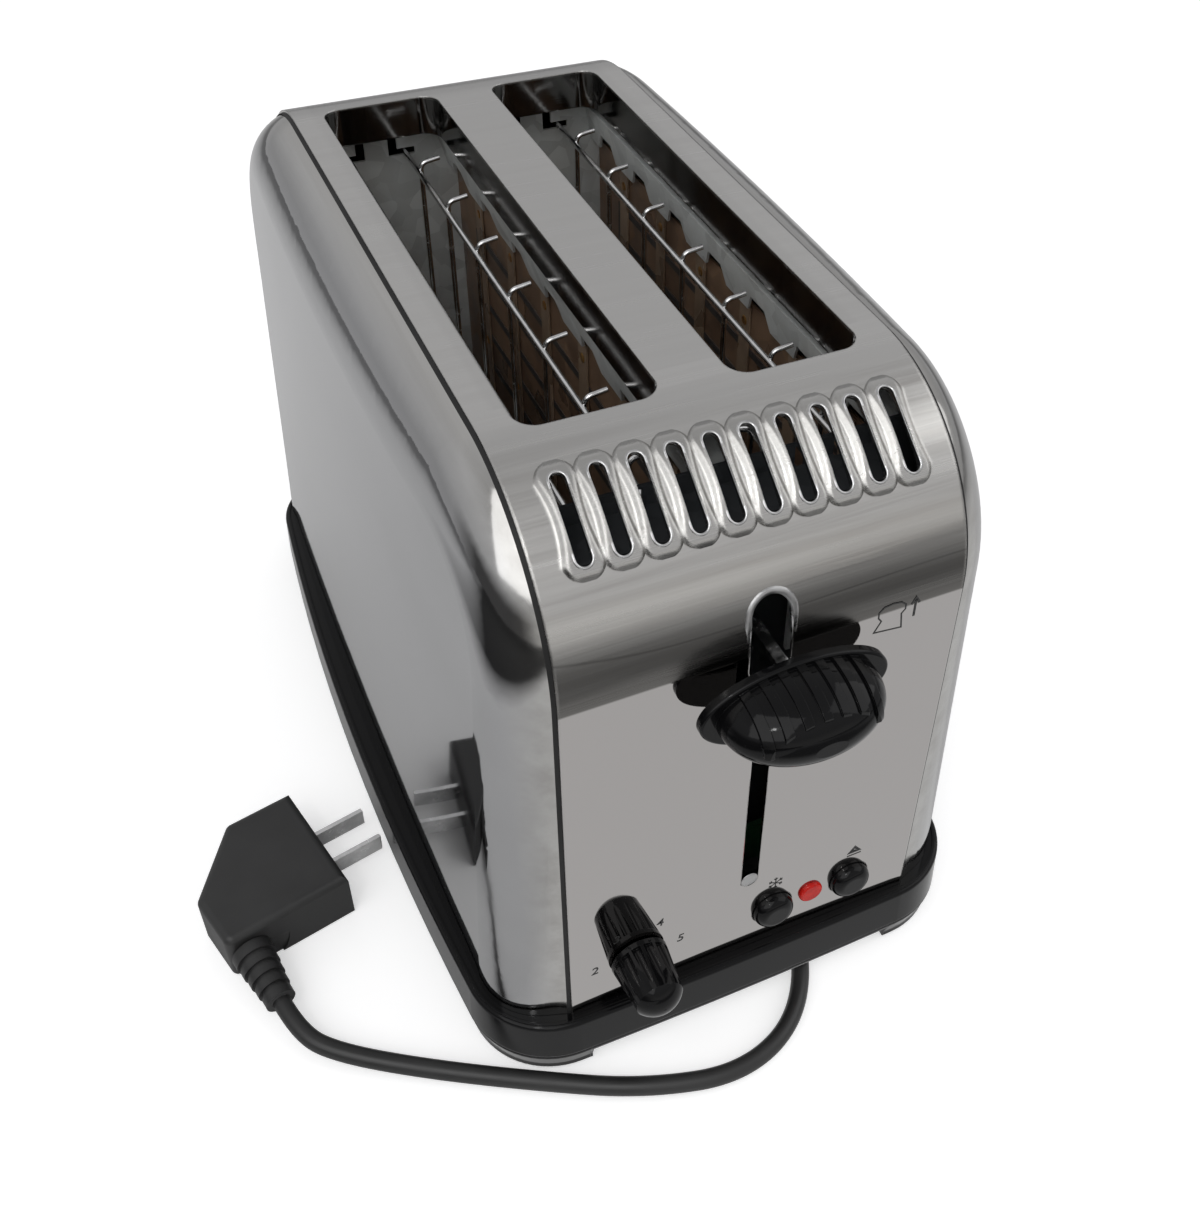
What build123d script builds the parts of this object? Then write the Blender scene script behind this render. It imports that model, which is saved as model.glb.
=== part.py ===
from build123d import *
import math
import os

os.makedirs("parts", exist_ok=True)

# Two-slice toaster. Millimetres, +Z up, the floor at z = 0, the lever end at -Y.
# The origin is under the middle of the toaster, with its knobs, on the floor.

# Driving sizes of the outside
wrap_width = 110.0
body_length = 269.0
body_height = 200.0
sheet = 1.0
bend_radius = 49.5
panel_recess = 0.8
panel_ledge = 5.9
panel_reach_top = 15.6
panel_bow = 5.5
panel_taper = 19.0
panel_round = 20.0

# Base moulding
base_half_mid = 85.3
base_half_end = 77.2
base_lip = 4.7
base_bow = 1.5
base_corner = 27.0
base_wall = 3.0
base_draft = 2.0
ledge_top = 23.5
ledge_thick = 4.0
ledge_round = 1.3
ridge_height = 0.6
ridge_width = 0.9
ridge_inset = 1.8
arch_height = 7.0
arch_half = 50.0
side_arch_half = 92.0
side_arch_height = 4.0
foot_length = 34.0
foot_lift = 1.5
foot_bevel_in = 2.0
foot_bevel_high = 6.5
pad_radius = 7.0
pad_height = 3.0
pad_inset = 21.0
hatch_half = 50.0
hatch_margin = 6.0
boss_radius = 5.0
boss_x = 66.0
boss_y = 48.0

# Bread slots, vents and the lever's keyhole
slot_width = 36.8
slot_length = 180.5
slot_corner = 6.0
slot_centre = 27.5
slot_start = 44.2
lip_depth = 13.0
vent_count = 10
vent_pitch = 9.5
vent_length = 22.5
vent_width = 4.1
vent_angle = 36.0
vent_rim = 0.7
vent_rim_height = 1.1
vent_rim_slope = 52.0
lever_slot_width = 5.4
lever_slot_spare = 7.5
keyhole_width = 11.5
keyhole_below = 8.0
keyhole_above = 19.0
dimple_radius = 9.0
dimple_depth = 0.5
dimple_drop = 4.6

# Lever, its knob and its travel
arm_low_z = 68.0
arm_drop = 52.0
arm_width = 3.2
arm_height = 8.0
knob_x = 3.5
knob_gap = 5.7
flange_thick = 2.5
flange_half = 26.0
flange_rise = 12.5
flange_round = 0.8
grip_depth = 17.5
grip_half = 22.0
grip_rise = 11.0
grip_sections = (0, 0.35, 0.62, 0.82, 0.95, 1.0)
grip_fullness = 0.965
grip_ribs = 7
grip_rib_pitch = 5.0
grip_rib_width = 2.4
grip_rib_height = 0.7
knob_drop = 8.0

# Controls on the front, measured from the middle and the floor
timer_x = -34.6
timer_z = 41.6
timer_reach = 19.0
timer_gap = 0.4
timer_base_radius = 8.5
timer_tip_radius = 7.0
timer_dome = 3.6
timer_flutes = 14
flute_radius = 1.5
flute_out = 0.2
flute_start = 2.0
button_z = 38.9
button_radius = 6.3
button_height = 3.8
button_round = 3.0
button_travel = 2.0
defrost_x = 8.6
cancel_x = 34.5
lamp_x = 21.3
lamp_z = 39.6
lamp_radius = 3.85
lamp_height = 1.2

# Chassis
bulkhead_front = 31.0
bulkhead_rear = 34.0
bulkhead_half = 58.0
bulkhead_clear = 15.0
rail_clear = 16.0
rail_drop = 14.0
rail_half = 7.0
rail_sheet = 0.8
board_x = 53.0
board_thick = 0.8
board_low = 48.0
board_clear = 31.0
ribbon_thick = 0.3
ribbon_width = 2.4
ribbon_runs = 8
ribbon_pitch = 12.5
bar_count = 6
bar_pitch = 31.0
bar_width = 6.5
bar_thick = 0.5

# Bread guards
guard_offset = 9.5
guard_rail_clear = 23.0
guard_low_z = 75.0
guard_wire = 0.9
guard_bars = 7
guard_pitch = 28.6
guard_hook = 6.5
guard_crown = 3.5
guard_travel = 2.5

# Lift mechanism and electrics
rod_x = 40.0
rod_depth = 23.0
rod_radius = 2.5
bush_radius = 5.0
bush_height = 18.0
web_thick = 1.5
web_depth = 27.5
web_half = 45.0
web_drop = 7.0
web_height = 16.0
leg_width = 12.0
rack_drop = 15.0
rack_height = 10.0
rack_bar = 2.0
rack_fins = 6
rack_fin_half = 6.0
rack_fin_length = 13.0
rack_fin_thick = 1.2
bracket_clear = 22.0
board_depth = 16.0
circuit_half = 49.5
circuit_thick = 1.6
circuit_low = 31.0
circuit_top = 58.0
spacer_x = 47.0
spacer_radius = 2.0
coil_radius = 6.5
core_radius = 3.2
core_foot = 18.0
armature_width = 12.0
magnet_overlap = 5.0
magnet_sheet = 2.0
spring_x = 14.0
spring_radius = 3.2
spring_wire = 0.5
spring_turns = 7

# Bottom plate and crumb tray
plate_z = 11.0
tray_half = 47.0
tray_height = 6.0
tray_sheet = 0.8

# Lead and plug
cord_diameter = 5.6
gland_x = -30.0
sleeve_length = 20.0
sleeve_big = 6.3
sleeve_small = 4.6
plug_height = 18.0
blade_spacing = 12.7
blade_length = 17.5
blade_width = 6.3
blade_thick = 1.5

# Clearances
gap = 0.3
pin_gap = 0.3

# Places that follow from the sizes above
half_wrap = wrap_width / 2
panel_reach_low = base_half_mid - half_wrap - panel_ledge
arm_z = body_height - arm_drop
travel = arm_z - arm_low_z
lever_slot_low = arm_low_z - lever_slot_spare
keyhole_low = arm_z - keyhole_below
keyhole_top = arm_z + keyhole_above
web_low = arm_z - web_drop
rack_top = web_low - rack_drop
rail_top = body_height - rail_clear
bulkhead_top = body_height - bulkhead_clear
board_top = body_height - board_clear
guard_rail_z = body_height - guard_rail_clear
bracket_z = body_height - bracket_clear
lever_reach = knob_gap + flange_thick + grip_depth
front_y = (lever_reach - base_lip - body_length) / 2
rear_y = front_y + body_length
mid_y = (front_y + rear_y) / 2
slot_mid_y = front_y + slot_start + slot_length / 2
front_wall_y = front_y + bulkhead_front
rear_wall_y = rear_y - bulkhead_rear
chamber_length = rear_wall_y - front_wall_y - sheet
chamber_mid_y = (rear_wall_y + front_wall_y + sheet) / 2
rod_y = front_y + rod_depth
web_y = front_y + web_depth
circuit_y = front_y + board_depth
knob_z = arm_z - knob_drop
knob_back_y = front_y - knob_gap
plate_top = plate_z + sheet
cord_z = cord_diameter / 2 + 0.2


def front_plane(y):
    """Upright plane at y that faces the lever end."""
    return Plane.XZ.offset(-y)


def save(part, name):
    """Label one finished piece and write it."""
    part.label = name
    export_step(part, f"parts/{name}.step")


# Plan of the base: four bowed sides with round corners
base_front = front_y - base_lip
base_rear = rear_y + base_lip
with BuildSketch() as base_plan:
    with BuildLine():
        west_low = (-base_half_end, base_front + base_bow)
        east_low = (base_half_end, base_front + base_bow)
        west_high = (-base_half_end, base_rear - base_bow)
        east_high = (base_half_end, base_rear - base_bow)
        ThreePointArc(west_low, (0, base_front), east_low)
        ThreePointArc(east_low, (base_half_mid, mid_y), east_high)
        ThreePointArc(east_high, (0, base_rear), west_high)
        ThreePointArc(west_high, (-base_half_mid, mid_y), west_low)
    make_face()
    fillet(base_plan.vertices(), base_corner)


def plan_inset(inset):
    """Plan of the base, moved in by inset."""
    return offset(base_plan.sketch, amount=-inset, mode=Mode.PRIVATE)


# Base: a glossy ring with a stepped ledge that the steel stands on, raised between its corners
foot_y = (base_rear - base_front - foot_length) / 2
foot_x = (base_half_mid + arch_half) / 2
pad_x = base_half_end - pad_inset
pad_y = (base_rear - base_front) / 2 - pad_inset
with BuildPart() as base:
    with BuildSketch(Plane.XY.offset(foot_lift)):
        add(base_plan.sketch)
    extrude(amount=ledge_top - foot_lift, taper=base_draft)
    fillet(base.faces().sort_by(Axis.Z)[-1].edges(), ledge_round)
    chamfer(base.faces().sort_by(Axis.Z)[0].edges(), foot_bevel_high, foot_bevel_in)
    with BuildSketch(Plane.XY.offset(ledge_top)):
        add(plan_inset(ridge_inset))
        add(plan_inset(ridge_inset + ridge_width), mode=Mode.SUBTRACT)
    extrude(amount=ridge_height)
    with BuildSketch(Plane.XY.offset(foot_lift)):
        add(plan_inset(base_wall))
    extrude(amount=ledge_top - ledge_thick - foot_lift, mode=Mode.SUBTRACT)
    with BuildSketch(Plane.XY.offset(foot_lift)):
        with Locations((0, mid_y)):
            with GridLocations(2 * foot_x, 2 * foot_y, 2, 2):
                Rectangle(base_half_mid - arch_half, foot_length)
        add(plan_inset(base_wall / 2), mode=Mode.INTERSECT)
    extrude(amount=ledge_top - ledge_thick - foot_lift)
    with BuildSketch(Plane.XY.offset(ledge_top - ledge_thick)):
        with Locations((0, mid_y)):
            RectangleRounded(2 * hatch_half, body_length - 2 * hatch_margin, ledge_round)
    extrude(amount=ledge_thick, mode=Mode.SUBTRACT)
    # Arches between the feet: low ones at the front and sides, the tray's door at the rear
    with Locations((0, base_front, 0)):
        Box(2 * arch_half, 4 * base_wall, 2 * arch_height, mode=Mode.SUBTRACT)
    with Locations((0, base_rear, 0)):
        Box(2 * arch_half, 4 * base_wall, 2 * (ledge_top - ledge_thick), mode=Mode.SUBTRACT)
    with Locations((0, mid_y, 0)):
        Box(4 * base_half_mid, 2 * side_arch_half, 2 * side_arch_height, mode=Mode.SUBTRACT)
    # Bosses that the bottom plate is screwed to
    with BuildSketch(Plane.XY.offset(plate_top)):
        with Locations((0, mid_y)):
            with GridLocations(2 * boss_x, 2 * boss_y, 2, 2):
                Circle(boss_radius)
    extrude(amount=ledge_top - ledge_thick - plate_top)
    with Locations((0, mid_y, plate_top)):
        with GridLocations(2 * boss_x, 2 * boss_y, 2, 2):
            Cylinder(1.7, 2 * 9.0, mode=Mode.SUBTRACT)
    # Recesses for the rubber pads
    with Locations((0, mid_y, foot_lift)):
        with GridLocations(2 * pad_x, 2 * pad_y, 2, 2):
            Cylinder(pad_radius + gap, 2 * (pad_height - foot_lift), mode=Mode.SUBTRACT)
save(base.part, "base")

with BuildPart() as rubber_feet:
    with BuildSketch():
        with Locations((0, mid_y)):
            with GridLocations(2 * pad_x, 2 * pad_y, 2, 2):
                Circle(pad_radius)
    extrude(amount=pad_height)
    chamfer(rubber_feet.faces().group_by(Axis.Z)[0].edges(), 0.6)
save(rubber_feet.part, "rubber_feet")

# Bottom plate between the feet, with two upstands that guide the crumb tray
grip_y = base_rear - base_bow - base_wall - 1.0
guide_x = tray_half + gap
guide_front = front_wall_y + 5.0
guide_length = rear_wall_y - guide_front
with BuildPart() as bottom_plate:
    with BuildSketch(Plane.XY.offset(plate_z)):
        add(plan_inset(base_wall + gap))
        with Locations((0, mid_y)):
            with GridLocations(2 * foot_x, 2 * foot_y, 2, 2):
                Rectangle(
                    base_half_mid - arch_half + 2 * gap,
                    foot_length + 2 * gap,
                    mode=Mode.SUBTRACT,
                )
        with Locations((0, grip_y + base_wall)):
            Rectangle(2 * arch_half, 2 * (base_wall + gap), mode=Mode.SUBTRACT)
    extrude(amount=sheet)
    with BuildSketch(Plane.XY.offset(plate_top)):
        for side in (-1, 1):
            with Locations((side * (guide_x + sheet / 2), guide_front + guide_length / 2)):
                Rectangle(sheet, guide_length)
    extrude(amount=tray_height + 2)
    with Locations((0, mid_y, plate_z)):
        with GridLocations(2 * boss_x, 2 * boss_y, 2, 2):
            Cylinder(1.9, 4 * sheet, mode=Mode.SUBTRACT)
save(bottom_plate.part, "bottom_plate")

with BuildPart() as base_screws:
    with BuildSketch(Plane.XY.offset(plate_z)):
        with Locations((0, mid_y)):
            with GridLocations(2 * boss_x, 2 * boss_y, 2, 2):
                Circle(3.6)
    extrude(amount=-1.8)
    with BuildSketch(Plane.XY.offset(plate_z)):
        with Locations((0, mid_y)):
            with GridLocations(2 * boss_x, 2 * boss_y, 2, 2):
                Circle(1.6)
    extrude(amount=9.0)
save(base_screws.part, "base_screws")

# Crumb tray: a shallow pan and its black grip in the rear door
tray_front = guide_front + 1.0
tray_length = grip_y - tray_front
with BuildPart() as crumb_tray:
    with BuildSketch(Plane.XY.offset(plate_top + gap)):
        with Locations((0, tray_front + tray_length / 2)):
            RectangleRounded(2 * tray_half, tray_length, 2.0)
    extrude(amount=tray_height)
    offset(amount=-tray_sheet, openings=crumb_tray.faces().sort_by(Axis.Z)[-1])
save(crumb_tray.part, "crumb_tray")

grip_low = plate_z - 1.0
grip_high = ledge_top - ledge_thick - 1.0
with BuildPart() as tray_grip:
    with BuildSketch(Plane.XY.offset(grip_low)):
        with Locations((0, grip_y + base_wall / 2)):
            Rectangle(2 * (arch_half - 1.0), base_wall)
    extrude(amount=grip_high - grip_low)
    fillet(tray_grip.edges().filter_by(Axis.Z), 1.0)
    with BuildSketch(front_plane(grip_y + base_wall).location):
        with Locations((0, (grip_low + grip_high) / 2)):
            SlotOverall(40, 4.5)
    extrude(amount=1.6, mode=Mode.SUBTRACT)
save(tray_grip.part, "crumb_tray_grip")

# Centre cover: one strip of steel bent over the body from front to rear
bend_y = front_y + bend_radius
bend_z = body_height - bend_radius
vent_dir = Vector(0, -math.sin(math.radians(vent_angle)), math.cos(math.radians(vent_angle)))
vent_spot = Vector(0, bend_y, bend_z) + vent_dir * bend_radius
vent_plane = Plane(origin=vent_spot, x_dir=(1, 0, 0), z_dir=vent_dir)


def arch_face(inset, low, radius):
    """Outline of the body from the side: square at the bottom, with two large bends on top."""
    with BuildSketch(Plane.YZ) as outline:
        with Locations((mid_y, (low + body_height) / 2 - inset / 2)):
            Rectangle(body_length - 2 * inset, body_height - low - inset)
        fillet(outline.vertices().group_by(Axis.Y)[-1], radius)
    return outline.sketch_local


outer_arch = arch_face(0, ledge_top, bend_radius)
inner_arch = arch_face(sheet, ledge_top - 5, bend_radius - sheet)
rim_arch = arch_face(-vent_rim_height, ledge_top, bend_radius + vent_rim_height)

with BuildPart() as vent_rims:
    with BuildSketch(vent_plane.offset(vent_rim_height)):
        with GridLocations(vent_pitch, 1, vent_count, 1):
            SlotOverall(vent_length + 2 * vent_rim, vent_width + 2 * vent_rim, rotation=90)
    extrude(amount=-vent_rim_height - sheet, taper=-vent_rim_slope)
    with BuildSketch(Plane.YZ):
        add(rim_arch)
        add(inner_arch, mode=Mode.SUBTRACT)
    extrude(amount=half_wrap, both=True, mode=Mode.INTERSECT)

slot_places = [(-slot_centre, slot_mid_y), (slot_centre, slot_mid_y)]
with BuildPart() as centre_cover:
    with BuildSketch(Plane.YZ):
        add(outer_arch)
        add(inner_arch, mode=Mode.SUBTRACT)
    extrude(amount=half_wrap, both=True)
    add(vent_rims.part)
    with BuildSketch(vent_plane.offset(-6 * sheet)):
        with GridLocations(vent_pitch, 1, vent_count, 1):
            SlotOverall(vent_length, vent_width, rotation=90)
    extrude(amount=20, mode=Mode.SUBTRACT)
    with BuildSketch(Plane.XY.offset(body_height - sheet)):
        with Locations(*slot_places):
            RectangleRounded(slot_width + 2 * sheet, slot_length + 2 * sheet, slot_corner + sheet)
    extrude(amount=sheet - lip_depth)
    with BuildSketch(Plane.XY.offset(body_height)):
        with Locations(*slot_places):
            RectangleRounded(slot_width, slot_length, slot_corner)
    extrude(amount=-lip_depth - sheet, mode=Mode.SUBTRACT)
    # Keyhole that the lever's arm runs in
    with BuildSketch(front_plane(front_y)):
        with Locations((0, (lever_slot_low + keyhole_low) / 2)):
            SlotOverall(keyhole_low - lever_slot_low + 12, lever_slot_width, rotation=90)
        with Locations((0, (keyhole_low + keyhole_top) / 2)):
            SlotOverall(keyhole_top - keyhole_low, keyhole_width, rotation=90)
    extrude(amount=-14, mode=Mode.SUBTRACT)
    with Locations((0, front_y - dimple_radius + dimple_depth, lever_slot_low - dimple_drop)):
        Sphere(dimple_radius, mode=Mode.SUBTRACT)
    with BuildSketch(front_plane(front_y)):
        with Locations((defrost_x, button_z), (cancel_x, button_z)):
            Circle(button_radius + gap)
        with Locations((lamp_x, lamp_z)):
            Circle(lamp_radius - 0.8)
        with Locations((timer_x, timer_z)):
            Circle(3.0 + pin_gap + 0.4)
    extrude(amount=-3 * sheet, mode=Mode.SUBTRACT)
save(centre_cover.part, "centre_cover")


# Side panels: deep drawn pans, domed towards a bowed and drafted outer face
def panel_solid(side, inset, low):
    """Filled form of one side panel, moved in by inset."""
    inner_x = half_wrap - (sheet if inset else 0)
    with BuildPart() as form:
        with BuildSketch(Plane.YZ.offset(inner_x)):
            add(arch_face(panel_recess + inset, low - panel_reach_low, bend_radius - inset))
        extrude(amount=2 * panel_reach_low, taper=panel_taper)
        reach = [(low, panel_reach_low), (body_height, panel_reach_top)]
        slope = (panel_reach_low - panel_reach_top) / (body_height - ledge_top)
        for z, _ in reach:
            mid_x = half_wrap + panel_reach_low - slope * (z - ledge_top) - inset
            end_x = mid_x - panel_bow
            with BuildSketch(Plane.XY.offset(z)):
                with BuildLine():
                    ends = [(end_x, front_y - 5), (end_x, rear_y + 5)]
                    ThreePointArc(ends[0], (mid_x, mid_y), ends[1])
                    Polyline(ends[1], (0, rear_y + 5), (0, front_y - 5), ends[0])
                make_face()
        loft(ruled=True, mode=Mode.INTERSECT)
        rim = form.faces().sort_by(Axis.X)[-1].edges()
        low_edge = rim.sort_by(Axis.Z)[0]
        fillet([e for e in rim if e != low_edge], panel_round - inset)
        if side < 0:
            mirror(about=Plane.YZ, mode=Mode.REPLACE)
    return form.part


for side, word in ((-1, "left"), (1, "right")):
    with BuildPart() as side_panel:
        add(panel_solid(side, 0, ledge_top))
        add(panel_solid(side, sheet, ledge_top - 2), mode=Mode.SUBTRACT)
    save(side_panel.part, f"side_panel_{word}")

# Chassis: two bulkheads with the holes that the guards and bread racks run in
guard_places = []
for slot_side in (-1, 1):
    for guard_side in (-1, 1):
        rail_x = slot_side * slot_centre + guard_side * guard_offset
        guard_places.append((rail_x, guard_side))


def guard_holes(y):
    """Sketch of the L-shaped holes that let the guards move towards the bread."""
    with BuildSketch(front_plane(y)) as holes:
        for rail_x, outward in guard_places:
            hole_length = guard_travel + 6.5
            hole_height = 2 * (guard_wire + gap)
            with Locations((rail_x - outward * 1.0, guard_rail_z)):
                Rectangle(hole_length, hole_height)
            leg_x = rail_x - outward * (1.0 + hole_length / 2 - 1.5)
            with Locations((leg_x, guard_rail_z + 3.0)):
                Rectangle(3.0, 6.0 + hole_height)
            with Locations((rail_x - outward * guard_travel / 2, guard_low_z)):
                Rectangle(guard_travel + hole_height, hole_height)
    return holes.sketch


with BuildPart() as front_bulkhead:
    with BuildSketch(front_plane(front_wall_y + sheet)):
        with Locations((0, (ledge_top + bulkhead_top) / 2)):
            Rectangle(2 * bulkhead_half, bulkhead_top - ledge_top)
    extrude(amount=sheet)
    # Top bracket that holds the guide rods and the spring
    bracket_depth = front_wall_y - rod_y + 6.0
    with Locations((0, front_wall_y - bracket_depth / 2, bracket_z + sheet / 2)):
        Box(2 * (rod_x + 6.0), bracket_depth, sheet)
    extrude(guard_holes(front_wall_y + 2 * sheet), amount=3 * sheet, mode=Mode.SUBTRACT)
    with BuildSketch(front_plane(front_wall_y + 2 * sheet)):
        for side in (-1, 1):
            with Locations((side * slot_centre, (rack_top + 2 + rack_top - rack_height - travel - 2) / 2)):
                Rectangle(rack_bar + 2 * 0.8, travel + rack_height + 4)
    extrude(amount=3 * sheet, mode=Mode.SUBTRACT)
save(front_bulkhead.part, "front_bulkhead")

with BuildPart() as rear_bulkhead:
    with BuildSketch(front_plane(rear_wall_y)):
        with Locations((0, (ledge_top + bulkhead_top) / 2)):
            Rectangle(2 * bulkhead_half, bulkhead_top - ledge_top)
    extrude(amount=-sheet)
    extrude(guard_holes(rear_wall_y - sheet), amount=-3 * sheet, mode=Mode.SUBTRACT)
save(rear_bulkhead.part, "rear_bulkhead")

for side, word in ((-1, "left"), (1, "right")):
    with BuildPart() as side_frame:
        with BuildSketch(Plane.YZ.offset(side * bulkhead_half)):
            with Locations((chamber_mid_y, (ledge_top + rail_top) / 2)):
                Rectangle(chamber_length, rail_top - ledge_top)
        extrude(amount=-side * sheet)
    save(side_frame.part, f"side_frame_{word}")

# Notched rails along the top of the heating boards
notch_ys = [
    chamber_mid_y + (index - (guard_bars - 1) / 2) * guard_pitch for index in range(guard_bars)
]


def rail_notches(x):
    """Sketch of the notches in the lower edge of a rail, one at each guard hook."""
    with BuildSketch(Plane.YZ.offset(x)) as notches:
        for y in notch_ys:
            with Locations((y, rail_top - rail_drop + 3.0)):
                Trapezoid(guard_pitch * 0.5, 6.0, 65)
    return notches.sketch


with BuildPart() as centre_rail:
    with BuildSketch(front_plane(front_wall_y + sheet)):
        with BuildLine():
            Polyline(
                (-rail_half / 2, rail_top - rail_drop),
                (-rail_half, rail_top),
                (rail_half, rail_top),
                (rail_half / 2, rail_top - rail_drop),
            )
            offset(amount=rail_sheet, side=Side.RIGHT)
        make_face()
    extrude(amount=-chamber_length)
    extrude(rail_notches(0), amount=2 * rail_half, both=True, mode=Mode.SUBTRACT)
save(centre_rail.part, "centre_rail")

outer_rail_x = slot_centre + slot_width / 2 + 3.5
for side, word in ((-1, "left"), (1, "right")):
    with BuildPart() as outer_rail:
        with BuildSketch(front_plane(front_wall_y + sheet)):
            with BuildLine():
                Polyline(
                    (side * outer_rail_x, rail_top - rail_drop),
                    (side * (outer_rail_x - 2.0), rail_top - 1.0),
                    (side * (bulkhead_half - sheet), rail_top - 1.0),
                )
                offset(amount=rail_sheet, side=Side.LEFT if side < 0 else Side.RIGHT)
            make_face()
        extrude(amount=-chamber_length)
        extrude(rail_notches(side * outer_rail_x), amount=3.5, both=True, mode=Mode.SUBTRACT)
    save(outer_rail.part, f"outer_rail_{word}")


# Heating boards of mica, the ribbons on them and the bars that hold the ribbons
def draw_ribbon():
    """One flat ribbon that runs to and fro along a board."""
    run_length = chamber_length - 36.0
    low = (board_low + board_top) / 2 - (ribbon_runs - 1) / 2 * ribbon_pitch
    for run in range(ribbon_runs):
        with Locations((chamber_mid_y, low + run * ribbon_pitch)):
            Rectangle(run_length, ribbon_width)
        if run:
            end = run_length / 2 - ribbon_width / 2
            turn_y = chamber_mid_y + (end if run % 2 else -end)
            with Locations((turn_y, low + (run - 0.5) * ribbon_pitch)):
                Rectangle(ribbon_width, ribbon_pitch)


for board_mid, faces, word in ((-board_x, (1,), "left"), (0, (-1, 1), "centre"), (board_x, (-1,), "right")):
    with BuildPart() as board:
        with BuildSketch(Plane.YZ.offset(board_mid)):
            with Locations((chamber_mid_y, (board_low + board_top) / 2)):
                Rectangle(chamber_length, board_top - board_low)
        extrude(amount=board_thick / 2, both=True)
    save(board.part, f"heater_board_{word}")
    with BuildPart() as ribbon:
        for face in faces:
            with BuildSketch(Plane.YZ.offset(board_mid + face * board_thick / 2)):
                draw_ribbon()
            extrude(amount=face * ribbon_thick)
    save(ribbon.part, f"heater_ribbon_{word}")

with BuildPart() as mica_bars:
    for board_mid, face in ((-board_x, 1), (0, -1), (0, 1), (board_x, -1)):
        with BuildSketch(Plane.YZ.offset(board_mid + face * (board_thick / 2 + ribbon_thick))):
            with Locations((chamber_mid_y, (board_low + board_top) / 2)):
                with GridLocations(bar_pitch, 1, bar_count, 1):
                    Rectangle(bar_width, board_top - board_low - 2.0)
        extrude(amount=face * bar_thick)
save(mica_bars.part, "mica_bars")


# Bread guards: a rail, a lower rail and uprights whose tops hook over towards the board
def make_guard(rail_x, outward):
    """Welded wire guard whose rail lies at rail_x."""
    upper_length = rear_wall_y - front_wall_y + 8.0
    lower_length = rear_wall_y - front_wall_y + 1.0
    middle = (rear_wall_y + front_wall_y) / 2
    with BuildPart() as guard:
        with BuildSketch(front_plane(middle)):
            with Locations((rail_x, guard_rail_z)):
                Circle(guard_wire)
        extrude(amount=upper_length / 2, both=True)
        with BuildSketch(front_plane(middle)):
            with Locations((rail_x, guard_low_z)):
                Circle(guard_wire)
        extrude(amount=lower_length / 2, both=True)
        upright_x = rail_x + outward * guard_wire
        for y in notch_ys:
            with BuildLine() as wire:
                FilletPolyline(
                    (upright_x, y, guard_low_z),
                    (upright_x, y, guard_rail_z + guard_crown - 1.0),
                    (upright_x + outward * guard_hook, y, guard_rail_z + guard_crown),
                    radius=2.5,
                )
            with BuildSketch(Plane.XY.offset(guard_low_z)):
                with Locations((upright_x, y)):
                    Circle(guard_wire * 0.9)
            sweep(path=wire.wires()[0])
    return guard.part


guard_words = ("left_outer", "left_inner", "right_inner", "right_outer")
for (rail_x, outward), word in zip(guard_places, guard_words):
    save(make_guard(rail_x, outward), f"bread_guard_{word}")

# Guide rods between the bottom plate and the top bracket
with BuildPart() as guide_rods:
    with BuildSketch(Plane.XY.offset(plate_top)):
        with Locations((-rod_x, rod_y), (rod_x, rod_y)):
            Circle(rod_radius)
    extrude(amount=bracket_z - plate_top)
save(guide_rods.part, "guide_rods")

# Carriage: a plate with two bushes on the rods, two legs for the racks and a spring lug
web_front = web_y
rack_low = rack_top - rack_height
with BuildPart() as carriage:
    with BuildSketch(front_plane(web_front + web_thick)):
        with Locations((0, web_low + web_height / 2)):
            Rectangle(2 * web_half, web_height)
        for side in (-1, 1):
            with Locations((side * slot_centre, (rack_low + web_low) / 2 + 2)):
                Rectangle(leg_width, web_low - rack_low + 4)
    extrude(amount=web_thick)
    with BuildSketch(Plane.XY.offset(web_low)):
        with Locations((-rod_x, rod_y), (rod_x, rod_y)):
            Circle(bush_radius)
    extrude(amount=bush_height)
    with Locations((spring_x, (web_front + rod_y - 4.0) / 2, arm_z + 2.0)):
        Box(6.0, web_front - rod_y + 4.0, 2.0)
    with Locations((-rod_x, rod_y, web_low), (rod_x, rod_y, web_low)):
        Cylinder(rod_radius + pin_gap, 4 * bush_height, mode=Mode.SUBTRACT)
save(carriage.part, "carriage")

for side, word in ((-1, "left"), (1, "right")):
    rack_x = side * slot_centre
    rack_front = web_front + web_thick
    rack_length = rear_wall_y - 4.0 - rack_front
    with BuildPart() as rack:
        with BuildSketch(Plane.YZ.offset(rack_x)):
            with Locations((rack_front + rack_length / 2, rack_low + rack_height / 2)):
                Rectangle(rack_length, rack_height)
        extrude(amount=rack_bar / 2, both=True)
        with BuildSketch(Plane.XY.offset(rack_top)):
            with Locations((rack_x, chamber_mid_y)):
                with GridLocations(1, guard_pitch, 1, rack_fins):
                    RectangleRounded(2 * rack_fin_half, rack_fin_length, 2.0)
        extrude(amount=rack_fin_thick)
    save(rack.part, f"bread_rack_{word}")

# Lever: a flat arm from the carriage through the keyhole, and the moulded knob on it
with BuildPart() as lever_arm:
    with BuildSketch(Plane.YZ):
        with Locations(((web_front + knob_back_y) / 2, arm_z)):
            Rectangle(web_front - knob_back_y, arm_height)
    extrude(amount=arm_width / 2, both=True)
save(lever_arm.part, "lever_arm")

knob_front_y = knob_back_y - flange_thick


def grip_form(grow):
    """Half-dome of the knob's grip, larger by grow."""
    with BuildPart() as dome:
        for share in grip_sections:
            size = (1 - grip_fullness * share**2.4) ** (1 / 2.1)
            with BuildSketch(front_plane(knob_front_y - share * (grip_depth + grow))):
                with Locations((knob_x, knob_z)):
                    Ellipse((grip_half + grow) * size, (grip_rise + grow) * size)
        loft()
    return dome.part


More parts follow.
